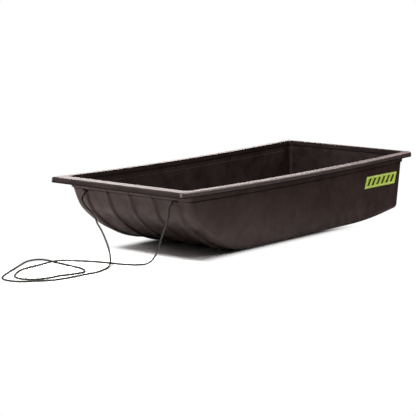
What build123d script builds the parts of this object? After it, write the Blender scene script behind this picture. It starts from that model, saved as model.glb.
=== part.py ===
from build123d import *
from math import cos, pi, radians, sin, tan
import os

os.makedirs("parts", exist_ok=True)

# An ice fishing sled: one moulded tub with a turned-down rim, a tow rope knotted
# behind two holes in the nose, and a decal on each side.
# Millimetres. +X is the nose, +Z is up, the sled stands on z = 0.

# Overall size
SLED_LENGTH = 1372.0
SLED_WIDTH = 600.0
SLED_HEIGHT = 254.0
RIM_SHEER = 9.0

# Sheet and rim
WALL = 3.2
LIP_DEPTH = 19.0
RIM_CORNER_RADIUS = 15.0
RIM_ROLL_RADIUS = 8.0

# Tub walls, measured at the height where they meet the rim
REAR_RIM_REACH = 24.0
SIDE_RIM_REACH = 30.0
WALL_TOP_Z = 236.0
WALL_DRAFT = 3.3
EDGE_RADIUS = 20.0
REAR_EDGE_RADIUS = 15.0

# Stacking shoulder under the rim
SHOULDER_STEP = 5.0
SHOULDER_DEPTH = 38.0

# Side profile of the underside
SKIN_Z = 7.0
NOSE_RIM_REACH = 63.5
NOSE_KNEE_SETBACK = 36.5
NOSE_KNEE_Z = 141.0
NOSE_KNEE_REACH = 40.0
NOSE_TOE_SETBACK = 171.5
NOSE_TOE_REACH = 150.0
TAIL_LENGTH = 205.0
TAIL_BREAK_REACH = 118.0
TAIL_RISE = 27.0

# Runner ridges
RIDGE_PITCH = 103.0
RIDGE_HEIGHT = 7.0
RIDGE_CREST = 13.0
RIDGE_FLANK_SLOPE = 0.95
RIDGE_ROOT = 3.0
RIDGE_CREST_RADIUS = 2.5
RIDGE_TAIL_GAP = 65.0
RIDGE_RUN_OUT = 26.0
RIDGE_END_RADIUS = 20.0
OUTER_RIDGE_TOP_Z = 212.0

# Rope holes
HOLE_DIAMETER = 10.0
HOLE_Y = 195.0
HOLE_Z = 206.5

# Tow rope and its knots
ROPE_DIAMETER = 5.0
ROPE_TAIL = 8.0
ROPE_LEFT_REACH = 36.0
ROPE_RIGHT_REACH = 19.0
ROPE_FLOOR_Z = 3.0
ROPE_HUMP_Z = 9.5
KNOT_LENGTH = 17.0
KNOT_DIAMETER = 19.0

# Side decals
LABEL_LENGTH = 202.0
LABEL_HEIGHT = 45.0
LABEL_SLANT = 11.0
LABEL_THICKNESS = 0.4
LABEL_REAR_DISTANCE = 143.0
LABEL_CENTRE_Z = 158.0

ABOVE = SLED_HEIGHT + 60.0
DRAFT_SLOPE = tan(radians(WALL_DRAFT))
WALL_TOP_Y = SLED_WIDTH / 2 - SIDE_RIM_REACH
REAR_TOP_X = -SLED_LENGTH / 2 + REAR_RIM_REACH
TAIL_BREAK_X = REAR_TOP_X + TAIL_LENGTH
RIDGE_TAIL_X = REAR_TOP_X + RIDGE_TAIL_GAP
LABEL_CENTRE_X = REAR_TOP_X + LABEL_REAR_DISTANCE
NOSE_TOP_X = SLED_LENGTH / 2 - NOSE_RIM_REACH
NOSE_KNEE_X = NOSE_TOP_X - NOSE_KNEE_SETBACK
NOSE_TOE_X = NOSE_KNEE_X - NOSE_TOE_SETBACK
NOSE_WALL_SLOPE = (NOSE_TOP_X - NOSE_KNEE_X) / (WALL_TOP_Z - NOSE_KNEE_Z)


def side_wall_y(z):
    """Half width of the tub's outer face at a height."""
    return WALL_TOP_Y - (WALL_TOP_Z - z) * DRAFT_SLOPE


def rear_wall_x(z):
    """Outer face of the rear wall at a height."""
    return REAR_TOP_X + (WALL_TOP_Z - z) * DRAFT_SLOPE


def nose_wall_x(z):
    """Outer face of the straight upper nose at a height."""
    return NOSE_TOP_X + (z - WALL_TOP_Z) * NOSE_WALL_SLOPE


def bend_radius(before, corner, after, reach):
    """Radius of the arc that leaves each leg at a distance from the corner."""
    run_in = Vector(*corner) - Vector(*before)
    run_out = Vector(*after) - Vector(*corner)
    return reach / tan(radians(run_in.get_angle(run_out)) / 2)


TAIL_Z = SKIN_Z + TAIL_RISE
TAIL_END = (rear_wall_x(TAIL_Z), TAIL_Z)
TAIL_BREAK = (TAIL_BREAK_X, SKIN_Z)
NOSE_TOE = (NOSE_TOE_X, SKIN_Z)
NOSE_KNEE = (NOSE_KNEE_X, NOSE_KNEE_Z)
NOSE_TOP = (NOSE_TOP_X, WALL_TOP_Z)
UNDERSIDE_RADII = [
    bend_radius(TAIL_END, TAIL_BREAK, NOSE_TOE, TAIL_BREAK_REACH),
    bend_radius(TAIL_BREAK, NOSE_TOE, NOSE_KNEE, NOSE_TOE_REACH),
    bend_radius(NOSE_TOE, NOSE_KNEE, NOSE_TOP, NOSE_KNEE_REACH),
]


def tub_form(inset):
    """Solid the sheet is drawn over, moved inwards by inset on every face."""
    with BuildPart() as form:
        with BuildSketch(Plane.XZ):
            with BuildLine():
                FilletPolyline(
                    (rear_wall_x(ABOVE), ABOVE),
                    TAIL_END,
                    TAIL_BREAK,
                    NOSE_TOE,
                    NOSE_KNEE,
                    (nose_wall_x(ABOVE), ABOVE),
                    radius=[0, *UNDERSIDE_RADII],
                )
                Line((nose_wall_x(ABOVE), ABOVE), (rear_wall_x(ABOVE), ABOVE))
            make_face()
            if inset:
                offset(amount=-inset, kind=Kind.INTERSECTION)
        extrude(amount=SLED_WIDTH, both=True)
        with BuildSketch(Plane.YZ):
            with BuildLine():
                Polyline(
                    (-side_wall_y(ABOVE) + inset, ABOVE),
                    (-side_wall_y(-30) + inset, -30),
                    (side_wall_y(-30) - inset, -30),
                    (side_wall_y(ABOVE) - inset, ABOVE),
                    close=True,
                )
            make_face()
        extrude(amount=SLED_LENGTH, both=True, mode=Mode.INTERSECT)
        flanks = form.faces().filter_by(lambda f: abs(f.normal_at().Y) > 0.9)
        rear = form.faces().sort_by(Axis.X)[0]
        top_z = form.part.bounding_box().max.Z
        rear_edges = rear.edges()
        long_edges = ShapeList()
        for flank in flanks:
            for edge in flank.edges():
                is_top = edge.bounding_box().min.Z > top_z - 1
                is_rear = edge.bounding_box().max.X < rear_wall_x(0) + 20
                if not is_top and not is_rear:
                    long_edges.append(edge)
        fillet(long_edges, EDGE_RADIUS - inset)
        rear = form.faces().sort_by(Axis.X)[0]
        rear_edges = rear.edges().filter_by(lambda e: e.bounding_box().min.Z < top_z - 1)
        fillet(rear_edges, REAR_EDGE_RADIUS - inset)
    return form.part


def ridge_form(y, top_z, inset):
    """One runner ridge along the underside and up the nose."""
    tail_slope = TAIL_RISE / (TAIL_BREAK_X - TAIL_END[0])
    ridge_tail_z = SKIN_Z + (TAIL_BREAK_X - RIDGE_TAIL_X) * tail_slope
    crest_half = RIDGE_CREST / 2
    flank_shift = inset * (1 + RIDGE_FLANK_SLOPE ** 2) ** 0.5
    crest = RIDGE_HEIGHT - inset
    root = -RIDGE_ROOT - inset
    crest_y = crest_half + RIDGE_FLANK_SLOPE * (RIDGE_HEIGHT - crest) - flank_shift
    root_y = crest_half + RIDGE_FLANK_SLOPE * (RIDGE_HEIGHT - root) - flank_shift
    with BuildPart() as ridge:
        with BuildLine(Plane.XZ.offset(-y)) as path:
            FilletPolyline(
                (RIDGE_TAIL_X - RIDGE_RUN_OUT, ridge_tail_z + RIDGE_RUN_OUT),
                (RIDGE_TAIL_X, ridge_tail_z),
                TAIL_BREAK,
                NOSE_TOE,
                NOSE_KNEE,
                (nose_wall_x(top_z), top_z),
                (nose_wall_x(top_z) - RIDGE_RUN_OUT, top_z + RIDGE_RUN_OUT),
                radius=[RIDGE_END_RADIUS, *UNDERSIDE_RADII, RIDGE_END_RADIUS],
            )
        spine = path.wire()
        with BuildSketch(Plane(spine @ 0, x_dir=(0, 1, 0), z_dir=spine % 0)):
            with BuildLine():
                FilletPolyline(
                    (-root_y, -root),
                    (-crest_y, -crest),
                    (crest_y, -crest),
                    (root_y, -root),
                    radius=RIDGE_CREST_RADIUS,
                )
                Line((root_y, -root), (-root_y, -root))
            make_face()
        sweep(path=spine)
    return ridge.part


def sheer_z(x):
    """Top of the rim at a station along the sled."""
    return SLED_HEIGHT - RIM_SHEER * (1 - (2 * x / SLED_LENGTH) ** 2)


def sheer_band(top_drop, bottom_drop):
    """Everything between two depths below the curved top of the rim."""
    reach = SLED_LENGTH / 2 + 20
    with BuildPart() as band:
        with BuildSketch(Plane.XZ):
            with BuildLine():
                ThreePointArc(
                    (-reach, sheer_z(reach) - top_drop),
                    (0, sheer_z(0) - top_drop),
                    (reach, sheer_z(reach) - top_drop),
                )
                Line((reach, sheer_z(reach) - top_drop), (reach, sheer_z(reach) - bottom_drop))
                ThreePointArc(
                    (reach, sheer_z(reach) - bottom_drop),
                    (0, sheer_z(0) - bottom_drop),
                    (-reach, sheer_z(reach) - bottom_drop),
                )
                Line((-reach, sheer_z(reach) - bottom_drop), (-reach, sheer_z(reach) - top_drop))
            make_face()
        extrude(amount=SLED_WIDTH, both=True)
    return band.part


def rim_form(inset):
    """Rounded block the rim is turned over, moved inwards by inset."""
    with BuildPart() as block:
        with BuildSketch(Plane.XY.offset(SLED_HEIGHT - 100)):
            RectangleRounded(
                SLED_LENGTH - 2 * inset,
                SLED_WIDTH - 2 * inset,
                RIM_CORNER_RADIUS - inset,
            )
        extrude(amount=200)
        add(sheer_band(inset, LIP_DEPTH + inset), mode=Mode.INTERSECT)
        crown = block.faces().sort_by(Axis.Z)[-1]
        fillet(crown.edges(), RIM_ROLL_RADIUS - inset)
    return block.part


# Tub: one sheet of even thickness, with its ridges, shoulder and rim
ridge_rows = [
    (-2 * RIDGE_PITCH, OUTER_RIDGE_TOP_Z),
    (-RIDGE_PITCH, WALL_TOP_Z),
    (0.0, WALL_TOP_Z),
    (RIDGE_PITCH, WALL_TOP_Z),
    (2 * RIDGE_PITCH, OUTER_RIDGE_TOP_Z),
]
nose_lean = (NOSE_WALL_SLOPE ** 2 + 1) ** 0.5
nose_out = Vector(1 / nose_lean, 0, -NOSE_WALL_SLOPE / nose_lean)

with BuildPart() as shoulder_outer:
    add(tub_form(-SHOULDER_STEP))
    add(sheer_band(0, SHOULDER_DEPTH), mode=Mode.INTERSECT)

with BuildPart() as cavity:
    add(tub_form(WALL - SHOULDER_STEP))
    add(sheer_band(-40, SHOULDER_DEPTH - WALL), mode=Mode.INTERSECT)
    add(tub_form(WALL))
    add([ridge_form(ridge_y, ridge_top, WALL) for ridge_y, ridge_top in ridge_rows])

with BuildPart() as tub:
    add(tub_form(0))
    add([ridge_form(ridge_y, ridge_top, 0) for ridge_y, ridge_top in ridge_rows])
    add(sheer_band(0, SLED_HEIGHT + 20), mode=Mode.INTERSECT)
    add(shoulder_outer.part)
    add(rim_form(0))
    with BuildPart(mode=Mode.PRIVATE) as rim_hollow:
        add(rim_form(WALL))
        add(sheer_band(WALL, LIP_DEPTH + 5), mode=Mode.INTERSECT)
        add(tub_form(-SHOULDER_STEP), mode=Mode.SUBTRACT)
        for ridge_y, ridge_top in ridge_rows:
            add(ridge_form(ridge_y, ridge_top, 0), mode=Mode.SUBTRACT)
    add(rim_hollow.part, mode=Mode.SUBTRACT)
    add(cavity.part, mode=Mode.SUBTRACT)
    for side in (-1, 1):
        hole_centre = Vector(nose_wall_x(HOLE_Z), side * HOLE_Y, HOLE_Z)
        with Locations(Plane(hole_centre, z_dir=nose_out)):
            Cylinder(HOLE_DIAMETER / 2, 6 * WALL, mode=Mode.SUBTRACT)
tub.part.label = "tub"
print("tub solids", len(tub.solids()), "volume", tub.part.volume, tub.part.bounding_box())
export_step(tub.part, "parts/tub.step")


# Tow rope: from behind one nose hole, along the floor in two loose coils, to the other
hole_left = Vector(nose_wall_x(HOLE_Z), -HOLE_Y, HOLE_Z)
hole_right = Vector(nose_wall_x(HOLE_Z), HOLE_Y, HOLE_Z)
tail_depth = WALL + KNOT_LENGTH + ROPE_TAIL
ROPE_ROUTE = [
    tuple(hole_left - nose_out * tail_depth),
    tuple(hole_left + nose_out * ROPE_LEFT_REACH),
    (632.0, -186.0, 156.0),
    (614.0, -158.0, 127.0),
    (636.0, -126.0, 104.0),
    (666.0, -81.0, 94.0),
    (701.0, -33.0, 80.0),
    (735.0, 18.0, 53.0),
    (759.0, 50.0, 25.0),
    (795.0, 80.0, 5.0),
    (838.0, 98.0, ROPE_FLOOR_Z),
    (893.0, 110.0, ROPE_FLOOR_Z),
    (942.0, 103.0, ROPE_FLOOR_Z),
    (992.0, 102.0, ROPE_FLOOR_Z),
    (1040.0, 97.0, ROPE_FLOOR_Z),
    (1080.0, 81.0, ROPE_FLOOR_Z),
    (1112.0, 56.0, ROPE_FLOOR_Z),
    (1146.0, 30.0, ROPE_FLOOR_Z),
    (1164.0, -8.0, ROPE_FLOOR_Z),
    (1157.0, -52.0, ROPE_FLOOR_Z),
    (1119.0, -84.0, ROPE_FLOOR_Z),
    (1068.0, -112.0, ROPE_FLOOR_Z),
    (1012.0, -140.0, ROPE_FLOOR_Z),
    (952.0, -172.0, ROPE_FLOOR_Z),
    (898.0, -199.0, ROPE_FLOOR_Z),
    (852.0, -190.0, ROPE_FLOOR_Z),
    (846.0, -147.0, ROPE_FLOOR_Z),
    (857.0, -108.0, ROPE_FLOOR_Z),
    (860.0, -66.0, ROPE_FLOOR_Z),
    (867.0, -18.0, ROPE_FLOOR_Z),
    (874.0, 32.0, ROPE_FLOOR_Z),
    (905.0, 76.0, ROPE_FLOOR_Z),
    (955.0, 74.0, ROPE_FLOOR_Z),
    (1000.0, 55.0, ROPE_FLOOR_Z),
    (1048.0, 54.0, ROPE_FLOOR_Z),
    (1092.0, 42.0, ROPE_FLOOR_Z),
    (1119.0, 5.0, ROPE_FLOOR_Z),
    (1112.0, -43.0, ROPE_FLOOR_Z),
    (1071.0, -78.0, ROPE_FLOOR_Z),
    (1021.0, -108.0, ROPE_FLOOR_Z),
    (964.0, -118.0, ROPE_FLOOR_Z),
    (918.0, -115.0, 4.5),
    (878.0, -107.0, ROPE_HUMP_Z),
    (838.0, -97.0, ROPE_HUMP_Z),
    (801.0, -78.0, 4.5),
    (771.0, -40.0, ROPE_FLOOR_Z),
    (755.0, 12.0, ROPE_FLOOR_Z),
    (743.0, 68.0, ROPE_FLOOR_Z),
    (724.0, 124.0, ROPE_FLOOR_Z),
    (692.0, 162.0, 6.0),
    (668.0, 172.0, 38.0),
    (655.0, 176.0, 74.0),
    (642.0, 181.0, 111.0),
    (624.0, 188.0, 154.0),
    tuple(hole_right + nose_out * ROPE_RIGHT_REACH),
    tuple(hole_right - nose_out * tail_depth),
]


def bend_radii(points):
    """Largest comfortable arc at each inner corner of a route."""
    radii = []
    for before, corner, after in zip(points, points[1:], points[2:]):
        run_in = Vector(*corner) - Vector(*before)
        run_out = Vector(*after) - Vector(*corner)
        half_turn = radians(run_in.get_angle(run_out)) / 2
        radii.append(0.45 * min(run_in.length, run_out.length) / tan(half_turn))
    return radii


rope_radii = bend_radii(ROPE_ROUTE)
with BuildPart() as tow_rope:
    with BuildLine() as rope_line:
        FilletPolyline(*ROPE_ROUTE, radius=rope_radii)
    rope_path = rope_line.wire()
    with BuildSketch(Plane(rope_path @ 0, z_dir=rope_path % 0)):
        Circle(ROPE_DIAMETER / 2)
    sweep(path=rope_path)
tow_rope.part.label = "tow_rope"
print("rope length", rope_path.length, "tightest bends", sorted(round(r, 1) for r in rope_radii)[:6])
print("rope volume", tow_rope.part.volume, "section x length", rope_path.length * pi * ROPE_DIAMETER ** 2 / 4)
export_step(tow_rope.part, "parts/tow_rope.step")

# Stopper knots, seated on the inside of the nose
for knot_name, hole_centre in (("knot_left", hole_left), ("knot_right", hole_right)):
    knot_centre = hole_centre - nose_out * (WALL + KNOT_LENGTH / 2)
    with BuildPart() as knot:
        with Locations(Plane(knot_centre, z_dir=nose_out)):
            Cylinder(KNOT_DIAMETER / 2, KNOT_LENGTH)
            fillet(knot.edges(), KNOT_LENGTH * 0.42)
            Cylinder(ROPE_DIAMETER / 2, KNOT_LENGTH * 2, mode=Mode.SUBTRACT)
    knot.part.label = knot_name
    export_step(knot.part, f"parts/{knot_name}.step")

# Decals on the two long walls
for label_name, side in (("label_left", -1), ("label_right", 1)):
    wall_point = (LABEL_CENTRE_X, side * side_wall_y(LABEL_CENTRE_Z), LABEL_CENTRE_Z)
    wall_out = Vector(0, side * cos(radians(WALL_DRAFT)), -sin(radians(WALL_DRAFT)))
    with BuildPart() as decal:
        with BuildSketch(Plane(wall_point, x_dir=(1, 0, 0), z_dir=wall_out)):
            up = -side
            with BuildLine():
                Polyline(
                    (-LABEL_LENGTH / 2 - LABEL_SLANT / 2, up * LABEL_HEIGHT / 2),
                    (LABEL_LENGTH / 2 - LABEL_SLANT / 2, up * LABEL_HEIGHT / 2),
                    (LABEL_LENGTH / 2 + LABEL_SLANT / 2, -up * LABEL_HEIGHT / 2),
                    (-LABEL_LENGTH / 2 + LABEL_SLANT / 2, -up * LABEL_HEIGHT / 2),
                    close=True,
                )
            make_face()
        extrude(amount=LABEL_THICKNESS)
    decal.part.label = label_name
    export_step(decal.part, f"parts/{label_name}.step")
    print(label_name, decal.part.bounding_box())
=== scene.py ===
"""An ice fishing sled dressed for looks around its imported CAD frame. Metres, +X nose, +Z up."""

import math

import bpy
import bmesh
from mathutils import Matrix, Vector


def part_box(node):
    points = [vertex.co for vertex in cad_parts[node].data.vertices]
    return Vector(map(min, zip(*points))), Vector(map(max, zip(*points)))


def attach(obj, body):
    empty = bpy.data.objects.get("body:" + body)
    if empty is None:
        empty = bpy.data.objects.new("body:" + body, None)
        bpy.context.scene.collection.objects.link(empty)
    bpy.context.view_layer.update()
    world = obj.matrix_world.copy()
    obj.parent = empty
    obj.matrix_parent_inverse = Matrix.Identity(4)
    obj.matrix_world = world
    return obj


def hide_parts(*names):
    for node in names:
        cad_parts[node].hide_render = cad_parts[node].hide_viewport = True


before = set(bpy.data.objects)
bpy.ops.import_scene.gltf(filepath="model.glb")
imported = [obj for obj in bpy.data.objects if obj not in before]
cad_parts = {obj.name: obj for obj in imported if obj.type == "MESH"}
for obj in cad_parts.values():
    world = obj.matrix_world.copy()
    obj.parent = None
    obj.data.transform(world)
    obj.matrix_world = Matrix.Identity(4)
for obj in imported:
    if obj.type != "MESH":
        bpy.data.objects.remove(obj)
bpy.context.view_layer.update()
scene = bpy.context.scene

# ---------------------------------------------------------------- camera
CAMERA_AZIMUTH = 129.376
CAMERA_ELEVATION = 9.333
CAMERA_DISTANCE = 6.1011
CAMERA_TARGET = Vector((0.0808, -0.0905, 0.0895))
CAMERA_LENS = 144.2
CAMERA_SENSOR = 36
CAMERA_NEAR = 0.05
CAMERA_FAR = 100

azimuth = math.radians(CAMERA_AZIMUTH)
elevation = math.radians(CAMERA_ELEVATION)
view_back = Vector(
    (
        math.sin(azimuth) * math.cos(elevation),
        -math.cos(azimuth) * math.cos(elevation),
        math.sin(elevation),
    )
)
camera_data = bpy.data.cameras.new("camera")
camera_data.lens = CAMERA_LENS
camera_data.sensor_width = CAMERA_SENSOR
camera_data.clip_start = CAMERA_NEAR
camera_data.clip_end = CAMERA_FAR
camera = bpy.data.objects.new("camera", camera_data)
camera.location = CAMERA_TARGET + view_back * CAMERA_DISTANCE
camera.rotation_mode = "QUATERNION"
camera.rotation_quaternion = (-view_back).to_track_quat("-Z", "Y")
scene.collection.objects.link(camera)
scene.camera = camera

# ---------------------------------------------------------------- tow rope route
HOLE_LEFT = Vector((0.611166, -0.195, 0.2065))
HOLE_RIGHT = Vector((0.611166, 0.195, 0.2065))
NOSE_OUT = Vector((95.0, 0.0, -36.5)).normalized()
ROPE_TAIL = 0.0282
ROPE_LEFT_REACH = 0.036
ROPE_RIGHT_REACH = 0.019
ROPE_RESOLUTION = 16
FLOOR = 0.0032
HUMP = 0.0095

# From the left hole out to the loops on the floor and back to the right hole.
ROPE_POINTS = [
    HOLE_LEFT - NOSE_OUT * ROPE_TAIL,
    HOLE_LEFT + NOSE_OUT * ROPE_LEFT_REACH,
    (0.632, -0.186, 0.156),
    (0.614, -0.158, 0.127),
    (0.636, -0.126, 0.104),
    (0.666, -0.081, 0.094),
    (0.701, -0.033, 0.080),
    (0.735, 0.018, 0.053),
    (0.759, 0.050, 0.025),
    (0.795, 0.080, 0.005),
    (0.838, 0.098, FLOOR),
    (0.893, 0.110, FLOOR),
    (0.942, 0.103, FLOOR),
    (0.992, 0.102, FLOOR),
    (1.040, 0.097, FLOOR),
    (1.080, 0.081, FLOOR),
    (1.112, 0.056, FLOOR),
    (1.146, 0.030, FLOOR),
    (1.1637, -0.008, FLOOR),
    (1.157, -0.052, FLOOR),
    (1.119, -0.084, FLOOR),
    (1.068, -0.112, FLOOR),
    (1.012, -0.140, FLOOR),
    (0.952, -0.172, FLOOR),
    (0.898, -0.199, FLOOR),
    (0.852, -0.190, FLOOR),
    (0.846, -0.147, FLOOR),
    (0.857, -0.108, FLOOR),
    (0.860, -0.066, FLOOR),
    (0.867, -0.018, FLOOR),
    (0.874, 0.032, FLOOR),
    (0.905, 0.076, FLOOR),
    (0.955, 0.074, FLOOR),
    (1.000, 0.055, FLOOR),
    (1.048, 0.054, FLOOR),
    (1.092, 0.042, FLOOR),
    (1.119, 0.005, FLOOR),
    (1.112, -0.043, FLOOR),
    (1.071, -0.078, FLOOR),
    (1.021, -0.108, FLOOR),
    (0.964, -0.118, FLOOR),
    (0.918, -0.115, 0.0045),
    (0.878, -0.107, HUMP),
    (0.838, -0.097, HUMP),
    (0.801, -0.078, 0.0045),
    (0.771, -0.040, FLOOR),
    (0.755, 0.012, FLOOR),
    (0.743, 0.068, FLOOR),
    (0.724, 0.124, FLOOR),
    (0.692, 0.162, 0.006),
    (0.668, 0.172, 0.038),
    (0.655, 0.176, 0.074),
    (0.642, 0.181, 0.111),
    (0.624, 0.188, 0.154),
    HOLE_RIGHT + NOSE_OUT * ROPE_RIGHT_REACH,
    HOLE_RIGHT - NOSE_OUT * ROPE_TAIL,
]


# ---------------------------------------------------------------- mesh helpers
SPLINE_ORDER = 3
NEARLY_ZERO = 1e-4


def spline_points(points, resolution):
    """Points along a smooth NURBS line that has these control points."""
    data = bpy.data.curves.new("route", "CURVE")
    data.dimensions = "3D"
    data.resolution_u = resolution
    spline = data.splines.new("NURBS")
    spline.points.add(len(points) - 1)
    for target, point in zip(spline.points, points):
        target.co = (*point, 1.0)
    spline.order_u = SPLINE_ORDER
    spline.use_endpoint_u = True
    holder = bpy.data.objects.new("route", data)
    scene.collection.objects.link(holder)
    bpy.context.view_layer.update()
    mesh = bpy.data.meshes.new_from_object(holder)
    line = [v.co.copy() for v in mesh.vertices]
    bpy.data.objects.remove(holder)
    bpy.data.curves.remove(data)
    bpy.data.meshes.remove(mesh)
    return line


def resample(line, step):
    """The same line with points an even step apart."""
    runs = [(b - a).length for a, b in zip(line, line[1:])]
    total = sum(runs)
    count = max(2, round(total / step))
    even, at, passed = [line[0].copy()], 0, 0.0
    for i in range(1, count):
        goal = total * i / count
        while passed + runs[at] < goal:
            passed += runs[at]
            at += 1
        even.append(line[at].lerp(line[at + 1], (goal - passed) / runs[at]))
    even.append(line[-1].copy())
    return even


def carried_frames(line):
    """A frame at every point that turns as little as it can along the line."""
    tangents = []
    for i in range(len(line)):
        before = line[max(0, i - 1)]
        after = line[min(len(line) - 1, i + 1)]
        tangents.append((after - before).normalized())
    side = tangents[0].cross(Vector((0, 0, 1)))
    if side.length < NEARLY_ZERO:
        side = tangents[0].cross(Vector((0, 1, 0)))
    side.normalize()
    frames = []
    for tangent in tangents:
        side = (side - tangent * side.dot(tangent)).normalized()
        frames.append((tangent, side, tangent.cross(side)))
    return frames


def add_tube(mesh, centres, frames, half_width, half_height, sides):
    """Add a capped tube to the mesh, with one elliptical ring round each centre."""
    rings = []
    for centre, (_, side, up) in zip(centres, frames):
        ring = []
        for k in range(sides):
            turn = 2 * math.pi * k / sides
            across = side * (half_width * math.cos(turn))
            upward = up * (half_height * math.sin(turn))
            ring.append(mesh.verts.new(centre + across + upward))
        rings.append(ring)
    for a, b in zip(rings, rings[1:]):
        for k in range(sides):
            mesh.faces.new((a[k], a[(k + 1) % sides], b[(k + 1) % sides], b[k]))
    mesh.faces.new(list(reversed(rings[0])))
    mesh.faces.new(rings[-1])


def mesh_object(name, mesh, smooth=True):
    """An object in the scene made from the mesh, which is used up."""
    data = bpy.data.meshes.new(name)
    bmesh.ops.recalc_face_normals(mesh, faces=mesh.faces)
    mesh.to_mesh(data)
    mesh.free()
    for polygon in data.polygons:
        polygon.use_smooth = smooth
    made = bpy.data.objects.new(name, data)
    scene.collection.objects.link(made)
    return made


# ---------------------------------------------------------------- braided rope and its knots
BRAID_CARRIERS = 4
BRAID_PITCH = 0.024
BRAID_STEPS = 18
BRAID_RADIUS = 0.00236
BRAID_LIFT = 0.00024
STRAND_HALF_WIDTH = 0.00155
STRAND_HALF_HEIGHT = 0.00044
STRAND_SIDES = 5
CORE_RADIUS = 0.0022
CORE_SIDES = 6
CORE_SKIP = 2

KNOT_RADIUS = 0.0062
KNOT_SWING = 0.0014
KNOT_RISE = 0.0052
KNOT_DEPTH = 0.0112
KNOT_STEPS = 96
KNOT_WINDS = 2
KNOT_LOBES = 3


def braid_along(line):
    """A round braid along a line, as a mesh, and the evenly spaced points that it follows.

    Flat strands run both ways round a core and pass over and under each other.
    """
    even = resample(line, BRAID_PITCH / BRAID_STEPS)
    rings = carried_frames(even)
    mesh = bmesh.new()
    add_tube(mesh, even[::CORE_SKIP], rings[::CORE_SKIP], CORE_RADIUS, CORE_RADIUS, CORE_SIDES)
    for hand in (1, -1):
        slope = 2 * math.pi * BRAID_RADIUS / BRAID_PITCH * hand
        for carrier in range(BRAID_CARRIERS):
            centres, frames = [], []
            for i, (point, (tangent, side, up)) in enumerate(zip(even, rings)):
                turn = 2 * math.pi * (carrier / BRAID_CARRIERS + hand * i / BRAID_STEPS)
                over = hand * math.cos(2 * math.pi * BRAID_CARRIERS * i / BRAID_STEPS)
                outward = side * math.cos(turn) + up * math.sin(turn)
                around = tangent.cross(outward)
                along = (tangent + around * slope).normalized()
                centres.append(point + outward * (BRAID_RADIUS + BRAID_LIFT * over))
                frames.append((along, outward.cross(along), outward))
            add_tube(mesh, centres, frames, STRAND_HALF_WIDTH, STRAND_HALF_HEIGHT, STRAND_SIDES)
    return mesh, even


def stopper_knot(name, node, hole):
    """The turns of an overhand knot round the rope, pulled up behind its hole."""
    centre = hole - NOSE_OUT * KNOT_DEPTH
    across = Vector((0, 1, 0))
    upward = NOSE_OUT.cross(across)
    turns = []
    for i in range(KNOT_STEPS + 1):
        turn = 2 * math.pi * i / KNOT_STEPS
        wound = KNOT_WINDS * turn
        reach = KNOT_RADIUS + KNOT_SWING * math.cos(KNOT_LOBES * turn)
        flat = across * (reach * math.cos(wound)) + upward * (reach * math.sin(wound))
        turns.append(centre + flat + NOSE_OUT * (KNOT_RISE * math.sin(KNOT_LOBES * turn)))
    knot = mesh_object(name, braid_along(turns)[0])
    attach(knot, "root")
    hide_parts(node)
    return knot


braid, rope_even = braid_along(spline_points(ROPE_POINTS, ROPE_RESOLUTION))
tow_rope = mesh_object("tow_rope_braid", braid)
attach(tow_rope, "root")
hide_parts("tow_rope")

knots = [
    stopper_knot("knot_left_turns", "knot_left", HOLE_LEFT),
    stopper_knot("knot_right_turns", "knot_right", HOLE_RIGHT),
]

# ---------------------------------------------------------------- node helpers
# A Mix node has several sockets of the same name, so they are found by number.
MIX_NUMBERS = (2, 3, 0)
MIX_COLOURS = (6, 7, 2)
WHITE = (1, 1, 1, 1)


def add_node(tree, kind, **values):
    """A shader node with its sockets set by name; spaces are written as underscores."""
    made = tree.nodes.new(kind)
    for name, value in values.items():
        made.inputs[name.replace("_", " ")].default_value = value
    return made


def feed(tree, socket, value):
    """Give a socket what it takes: another socket, an RGB colour or a number."""
    if isinstance(value, bpy.types.NodeSocket):
        tree.links.new(value, socket)
    elif isinstance(value, tuple):
        socket.default_value = (*value, 1)
    else:
        socket.default_value = value


def math_node(tree, operation, *values):
    """One maths node; each value is a socket or a number."""
    made = tree.nodes.new("ShaderNodeMath")
    made.operation = operation
    for socket, value in zip(made.inputs, values):
        feed(tree, socket, value)
    return made.outputs[0]


def mixed(tree, factor, a, b, sockets=MIX_COLOURS):
    """a where factor is 0 and b where it is 1; colours, unless sockets says numbers."""
    first, second, result = sockets
    made = tree.nodes.new("ShaderNodeMix")
    if sockets is MIX_COLOURS:
        made.data_type = "RGBA"
    feed(tree, made.inputs["Factor"], factor)
    feed(tree, made.inputs[first], a)
    feed(tree, made.inputs[second], b)
    return made.outputs[result]


def mixed_shaders(tree, factor, a, b):
    """The shader of node a where factor is 0 and that of node b where it is 1."""
    made = tree.nodes.new("ShaderNodeMixShader")
    tree.links.new(factor, made.inputs["Fac"])
    tree.links.new(a.outputs[0], made.inputs[1])
    tree.links.new(b.outputs[0], made.inputs[2])
    return made


def axes_of(tree, vector):
    """The X, Y and Z sockets of a vector."""
    made = tree.nodes.new("ShaderNodeSeparateXYZ")
    tree.links.new(vector, made.inputs[0])
    return made.outputs


def between(tree, value, start, end, low=0.0, high=1.0, smooth=True):
    """Value run from low at start to high at end, smoothly or in a straight line."""
    made = add_node(
        tree, "ShaderNodeMapRange", From_Min=start, From_Max=end, To_Min=low, To_Max=high
    )
    if smooth:
        made.interpolation_type = "SMOOTHSTEP"
    tree.links.new(value, made.inputs["Value"])
    return made.outputs["Result"]


def cleared_nodes(owner):
    """The owner's node tree, emptied, and the sockets of a new light path node in it."""
    owner.use_nodes = True
    tree = owner.node_tree
    tree.nodes.clear()
    return tree, tree.nodes.new("ShaderNodeLightPath").outputs


# ---------------------------------------------------------------- floor
FLOOR_HALF_SIZE = 30
FLOOR_GREY = 0.75
# The camera sees a floor brighter than white paint, so that it clips to white round the shadow.
SHADOW_FLOOR_GAIN = 1.45
SHADOW_FLOOR_TINT = (1.0, 0.985, 0.97)
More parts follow.
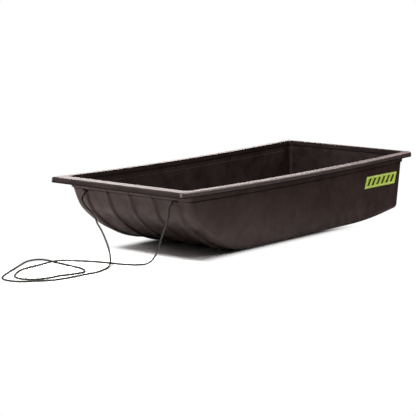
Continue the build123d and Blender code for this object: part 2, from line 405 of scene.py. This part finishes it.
# Painted reflection: shiny surfaces see the first colour, a warm floor, and the second one beside
# the near wall and the tail, a dark floor that paints shade into their reflection.
PAINTED_REFLECTED_FLOOR = (1.04, 0.93, 0.91)
PAINTED_REFLECTED_SHADE = (0.20, 0.14, 0.13)
REFLECTED_SHADE_LEAN = -0.35
REFLECTED_SHADE_REACH = (0.22, 0.75)
# Beyond this patch round the nose's shadow, the floor is cut to flat white.
CLEAR_CENTRE = (0.4, 0.0, 0.0)
CLEAR_FROM = 0.6
CLEAR_AT = 0.84
CLEAR_MIDDLE = 0.052
CLEAR_BESIDE = (0.168, 0.232)


def floor_white():
    """A floor with one look for the camera, a painted one for reflections and one for other rays.
    """
    made = bpy.data.materials.new("floor_white")
    tree, ray = cleared_nodes(made)
    place = tree.nodes.new("ShaderNodeTexCoord").outputs["Object"]
    axes = axes_of(tree, place)

    spread = tree.nodes.new("ShaderNodeVectorMath")
    spread.operation = "DISTANCE"
    spread.inputs[1].default_value = CLEAR_CENTRE
    tree.links.new(place, spread.inputs[0])
    far_out = between(tree, spread.outputs["Value"], CLEAR_FROM, CLEAR_AT)
    off_middle = math_node(tree, "SUBTRACT", axes["Y"], CLEAR_MIDDLE)
    beside = between(tree, math_node(tree, "ABSOLUTE", off_middle), *CLEAR_BESIDE)
    cleared = math_node(tree, "MAXIMUM", far_out, beside)

    shown = (*(SHADOW_FLOOR_GAIN * part for part in SHADOW_FLOOR_TINT), 1)
    lit_white = add_node(tree, "ShaderNodeBsdfDiffuse", Color=shown)
    clear_white = add_node(tree, "ShaderNodeEmission", Color=WHITE, Strength=1.0)
    seen = mixed_shaders(tree, cleared, lit_white, clear_white)

    # Painted reflection: the floor that shiny surfaces see turns from warm to dark beside the
    # near wall and the tail.
    aslant = math_node(tree, "MULTIPLY_ADD", axes["X"], REFLECTED_SHADE_LEAN, axes["Y"])
    reflected_shade_mask = between(tree, aslant, *REFLECTED_SHADE_REACH)
    painted_reflection = mixed(tree, reflected_shade_mask, PAINTED_REFLECTED_FLOOR, PAINTED_REFLECTED_SHADE)
    lit_painted_reflection = tree.nodes.new("ShaderNodeBsdfDiffuse")
    tree.links.new(painted_reflection, lit_painted_reflection.inputs["Color"])
    grey = (FLOOR_GREY, FLOOR_GREY, FLOOR_GREY, 1)
    lit_grey = add_node(tree, "ShaderNodeBsdfDiffuse", Color=grey)
    unseen = mixed_shaders(tree, ray["Is Glossy Ray"], lit_grey, lit_painted_reflection)

    output = tree.nodes.new("ShaderNodeOutputMaterial")
    both = mixed_shaders(tree, ray["Is Camera Ray"], unseen, seen)
    tree.links.new(both.outputs[0], output.inputs["Surface"])
    return made


floor_mesh = bmesh.new()
bmesh.ops.create_grid(floor_mesh, x_segments=1, y_segments=1, size=FLOOR_HALF_SIZE)
floor = mesh_object("floor", floor_mesh, smooth=False)
floor.data.materials.append(floor_white())

# ---------------------------------------------------------------- world and lights
WORLD_FILL = 0.04
WORLD_BACKDROP = 1.0
NEUTRAL = (1.0, 1.0, 1.0)
WARM = (1.0, 0.91, 0.88)
WARMER = (1.0, 0.87, 0.83)

# Name, place, what it points at, width and height, watts, colour.
SOFTBOXES = [
    ("key", (2.1, 0.3, 2.55), (0.3, 0.0, 0.1), (0.8, 0.6), 118, NEUTRAL),
    ("left", (0.7, -3.4, 1.1), (0.2, 0.0, 0.1), (2.2, 1.0), 44, NEUTRAL),
    ("right", (0.2, 2.6, 2.6), (0.0, 0.0, 0.1), (2.4, 1.2), 25, NEUTRAL),
    ("far", (-0.6, -4.4, 2.6), (0.0, 0.0, 0.15), (4.0, 2.4), 40, NEUTRAL),
    ("back", (-3.2, -4.3, 1.15), (0.0, 0.0, 0.2), (4.2, 1.3), 145, WARM),
    ("crest", (-3.4, 0.0, 2.7), (0.0, 0.0, 0.2), (3.8, 1.3), 160, WARMER),
]

world = bpy.data.worlds.new("studio")
scene.world = world
tree, ray = cleared_nodes(world)
fill = add_node(tree, "ShaderNodeBackground", Color=WHITE, Strength=WORLD_FILL)
backdrop = add_node(tree, "ShaderNodeBackground", Color=WHITE, Strength=WORLD_BACKDROP)
output = tree.nodes.new("ShaderNodeOutputWorld")
both = mixed_shaders(tree, ray["Is Camera Ray"], fill, backdrop)
tree.links.new(both.outputs[0], output.inputs["Surface"])


def softbox(name, location, target, size, power, colour):
    """A rectangular area light at location that points at target."""
    data = bpy.data.lights.new(name, "AREA")
    data.shape = "RECTANGLE"
    data.size, data.size_y = size
    data.energy = power
    data.color = colour
    made = bpy.data.objects.new(name, data)
    made.location = location
    made.rotation_mode = "QUATERNION"
    made.rotation_quaternion = (Vector(target) - Vector(location)).to_track_quat("-Z", "Y")
    scene.collection.objects.link(made)


for settings in SOFTBOXES:
    softbox(*settings)

scene.view_settings.view_transform = "Standard"

# ---------------------------------------------------------------- material helpers
def ramp(tree, source, low, high, dark, light):
    """Source between low and high, turned into a colour between dark and light."""
    return mixed(tree, between(tree, source, low, high, smooth=False), dark, light)


def noise_at(tree, vector, scale, detail, roughness):
    """A noise texture's value at the vector."""
    made = add_node(tree, "ShaderNodeTexNoise", Scale=scale, Detail=detail, Roughness=roughness)
    tree.links.new(vector, made.inputs["Vector"])
    return made.outputs["Fac"]


def bumped(tree, height, distance, strength, before=None):
    """The normal bumped by height, on top of the bump before it if there is one."""
    made = add_node(tree, "ShaderNodeBump", Strength=strength, Distance=distance)
    tree.links.new(height, made.inputs["Height"])
    if before is not None:
        tree.links.new(before, made.inputs["Normal"])
    return made.outputs["Normal"]


def new_material(name, specular):
    """A material, its node tree, its shader and its object coordinates."""
    made = bpy.data.materials.new(name)
    made.use_nodes = True
    tree = made.node_tree
    shader = tree.nodes["Principled BSDF"]
    shader.inputs["Specular IOR Level"].default_value = specular
    place = tree.nodes.new("ShaderNodeTexCoord").outputs["Object"]
    return made, tree, shader, place


# ---------------------------------------------------------------- tub plastic
# The top of the rim rises from RIM_LOW by RIM_SHEER at each end.
RIM_HALF_LENGTH = 0.686
RIM_LOW = 0.245
RIM_SHEER = 0.009
# Heights over the top of the rim at which each feature starts and ends.
LIP_FALL = (-0.004, -0.019)
STEP_FALL = (-0.0375, -0.0435)
# The next two heights bound a thin line of painted shade at the bottom of the lip.
LIP_SHADE_STARTS = (-0.0135, -0.0155)
LIP_SHADE_ENDS = (-0.0215, -0.0195)
RIM_ENDS = (-0.020, -0.018)
FACES_UP = (0.3, 0.8)
FACES_OUT = (0.01, 0.06)

PLASTIC_SPECULAR = 0.36
PLASTIC_TINT = (1.0, 0.83, 0.81)
PLASTIC_DARK = (0.0115, 0.0072, 0.0068)
PLASTIC_LIGHT = (0.0270, 0.0178, 0.0168)
# Painted shade: the near-black colour of the thin line at the bottom of the rim's lip.
PAINTED_LIP_SHADE_COLOUR = (0.0040, 0.0026, 0.0025)
SATIN_ROUGHNESS = (0.35, 0.57)
RIM_ROUGHNESS = (0.36, 0.46)
# Scale, detail and roughness of each noise.
MOTTLE_NOISE = (13.0, 6.0, 0.68)
MOTTLE_RANGE = (0.36, 0.66)
SMEAR_NOISE = (24.0, 5.0, 0.62)
SMEAR_RANGE = (0.3, 0.7)
WAVE_NOISE = (16.0, 2.0, 0.5)
GRAIN_NOISE = (700.0, 2.0, 0.5)
# Distance and strength of each bump.
LIP_BUMP = (0.0055, 1.0)
STEP_BUMP = (0.0022, 1.0)
WAVE_BUMP = (0.0012, 0.35)
GRAIN_BUMP = (0.00006, 0.5)


def below_rim(tree, place):
    """Height over the top of the rim, which rises towards both ends; negative is below it."""
    axes = axes_of(tree, place)
    along = math_node(tree, "DIVIDE", axes["X"], RIM_HALF_LENGTH)
    rise = math_node(tree, "MULTIPLY", math_node(tree, "MULTIPLY", along, along), RIM_SHEER)
    top = math_node(tree, "ADD", rise, RIM_LOW)
    return math_node(tree, "SUBTRACT", axes["Z"], top)


def painted_lip_shade(tree, depth):
    """1 in a thin line of painted shade at the bottom of the rim's lip, 0 away from it."""
    starts = between(tree, depth, *LIP_SHADE_STARTS)
    ends = between(tree, depth, *LIP_SHADE_ENDS)
    return math_node(tree, "MULTIPLY", starts, ends)


def outward(tree, place, facing):
    """1 on the walls that face out from the middle of the sled, 0 on the inside ones."""
    axes = axes_of(tree, place)
    along = math_node(tree, "MULTIPLY", axes["X"], facing["X"])
    total = math_node(tree, "MULTIPLY_ADD", axes["Y"], facing["Y"], along)
    return between(tree, total, *FACES_OUT)


def plastic():
    """Dark satin polyethylene, mottled and finely grained, with a rounded rim, a step and painted
    shade at the bottom of the lip.
    """
    made, tree, shader, place = new_material("tub_plastic", PLASTIC_SPECULAR)
    shader.inputs["Specular Tint"].default_value = (*PLASTIC_TINT, 1)
    depth = below_rim(tree, place)

    mottle = noise_at(tree, place, *MOTTLE_NOISE)
    colour = ramp(tree, mottle, *MOTTLE_RANGE, PLASTIC_DARK, PLASTIC_LIGHT)
    # Painted shade: the thin line at the bottom of the lip is coloured near black.
    colour = mixed(tree, painted_lip_shade(tree, depth), colour, PAINTED_LIP_SHADE_COLOUR)
    tree.links.new(colour, shader.inputs["Base Color"])

    facing = axes_of(tree, tree.nodes.new("ShaderNodeNewGeometry").outputs["Normal"])
    smear = noise_at(tree, place, *SMEAR_NOISE)
    satin = between(tree, smear, *SMEAR_RANGE, *SATIN_ROUGHNESS)
    on_top = between(tree, facing["Z"], *FACES_UP)
    rim = mixed(tree, on_top, *RIM_ROUGHNESS, MIX_NUMBERS)
    on_rim = between(tree, depth, *RIM_ENDS)
    roughness = mixed(tree, on_rim, satin, rim, MIX_NUMBERS)
    tree.links.new(roughness, shader.inputs["Roughness"])

    outer = outward(tree, place, facing)
    lip_height = math_node(tree, "MULTIPLY", between(tree, depth, *LIP_FALL), outer)
    step_height = math_node(tree, "MULTIPLY", between(tree, depth, *STEP_FALL), outer)
    lip = bumped(tree, lip_height, *LIP_BUMP)
    step = bumped(tree, step_height, *STEP_BUMP, lip)
    wave = bumped(tree, noise_at(tree, place, *WAVE_NOISE), *WAVE_BUMP, step)
    grain = bumped(tree, noise_at(tree, place, *GRAIN_NOISE), *GRAIN_BUMP, wave)
    tree.links.new(grain, shader.inputs["Normal"])
    return made


# ---------------------------------------------------------------- label vinyl
LABEL_SPECULAR = 0.4
LABEL_ROUGHNESS = 0.38
LABEL_DARK = (0.49, 0.69, 0.055)
LABEL_LIGHT = (0.56, 0.76, 0.08)
LABEL_NOISE = (60.0, 3.0, 0.5)
LABEL_RANGE = (0.3, 0.7)
LABEL_RIPPLE_NOISE = (55.0, 2.0, 0.5)
LABEL_RIPPLE_BUMP = (0.0006, 0.3)
KEYLINE = (0.70, 0.82, 0.34)
KEYLINE_STARTS = 0.0030
KEYLINE_ENDS = 0.0058
BAR_COLOUR = (0.022, 0.060, 0.008)
BAR_PITCH = 0.0310
BAR_LEAN = 0.62
BAR_EDGE = (0.25, 0.275)
BAR_INSET_ALONG = 0.0170
BAR_INSET_UP = 0.0085
PRINT_SOFTNESS = 0.0004


def inside(tree, x, z, half_x, half_z):
    """1 inside a rectangle about the label's middle, 0 outside it, with a soft edge."""
    in_x = math_node(tree, "SUBTRACT", half_x, math_node(tree, "ABSOLUTE", x))
    in_z = math_node(tree, "SUBTRACT", half_z, math_node(tree, "ABSOLUTE", z))
    nearest = math_node(tree, "MINIMUM", in_x, in_z)
    return between(tree, nearest, -PRINT_SOFTNESS, PRINT_SOFTNESS, smooth=False)


def lime():
    """Lime vinyl with a pale keyline and a plain row of slanted dark green bars."""
    made, tree, shader, place = new_material("label_lime", LABEL_SPECULAR)
    low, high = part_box("label_right")
    axes = axes_of(tree, place)
    x = math_node(tree, "SUBTRACT", axes["X"], (low[0] + high[0]) / 2)
    z = math_node(tree, "SUBTRACT", axes["Z"], (low[2] + high[2]) / 2)
    half_x, half_z = (high[0] - low[0]) / 2, (high[2] - low[2]) / 2

    tone = noise_at(tree, place, *LABEL_NOISE)
    colour = ramp(tree, tone, *LABEL_RANGE, LABEL_DARK, LABEL_LIGHT)
    outer = inside(tree, x, z, half_x - KEYLINE_STARTS, half_z - KEYLINE_STARTS)
    inner = inside(tree, x, z, half_x - KEYLINE_ENDS, half_z - KEYLINE_ENDS)
    keyline = math_node(tree, "SUBTRACT", outer, inner)
    colour = mixed(tree, keyline, colour, KEYLINE)

    lean = math_node(tree, "MULTIPLY_ADD", z, BAR_LEAN, x)
    wave = math_node(tree, "PINGPONG", math_node(tree, "DIVIDE", lean, BAR_PITCH), 0.5)
    bars = between(tree, wave, *BAR_EDGE, smooth=False)
    middle = inside(tree, x, z, half_x - BAR_INSET_ALONG, half_z - BAR_INSET_UP)
    printed = math_node(tree, "MULTIPLY", bars, middle)
    colour = mixed(tree, printed, colour, BAR_COLOUR)
    tree.links.new(colour, shader.inputs["Base Color"])

    shader.inputs["Roughness"].default_value = LABEL_ROUGHNESS
    ripple = noise_at(tree, place, *LABEL_RIPPLE_NOISE)
    tree.links.new(bumped(tree, ripple, *LABEL_RIPPLE_BUMP), shader.inputs["Normal"])
    return made


# ---------------------------------------------------------------- rope fibre
FIBRE_SPECULAR = 0.2
FIBRE_ROUGHNESS = 0.75
FIBRE_DARK = (0.016, 0.016, 0.014)
FIBRE_LIGHT = (0.095, 0.093, 0.080)
FLECK_NOISE = (420.0, 2.0, 0.7)
FLECK_RANGE = (0.42, 0.72)
FUZZ_NOISE = (2600.0, 3.0, 0.5)
FUZZ_BUMP = (0.0001, 0.6)


def cord_fibre():
    """Dark olive braid with paler flecks."""
    made, tree, shader, place = new_material("rope_fibre", FIBRE_SPECULAR)
    fleck = noise_at(tree, place, *FLECK_NOISE)
    colour = ramp(tree, fleck, *FLECK_RANGE, FIBRE_DARK, FIBRE_LIGHT)
    tree.links.new(colour, shader.inputs["Base Color"])
    shader.inputs["Roughness"].default_value = FIBRE_ROUGHNESS
    fuzz = noise_at(tree, place, *FUZZ_NOISE)
    tree.links.new(bumped(tree, fuzz, *FUZZ_BUMP), shader.inputs["Normal"])
    return made


# ---------------------------------------------------------------- dressing
def dress(made, material):
    """Give the object this material and no other."""
    made.data.materials.clear()
    made.data.materials.append(material)


label_lime = lime()
rope_fibre = cord_fibre()
dress(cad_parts["tub"], plastic())
for name in ("label_left", "label_right"):
    dress(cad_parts[name], label_lime)
for made in (tow_rope, *knots):
    dress(made, rope_fibre)
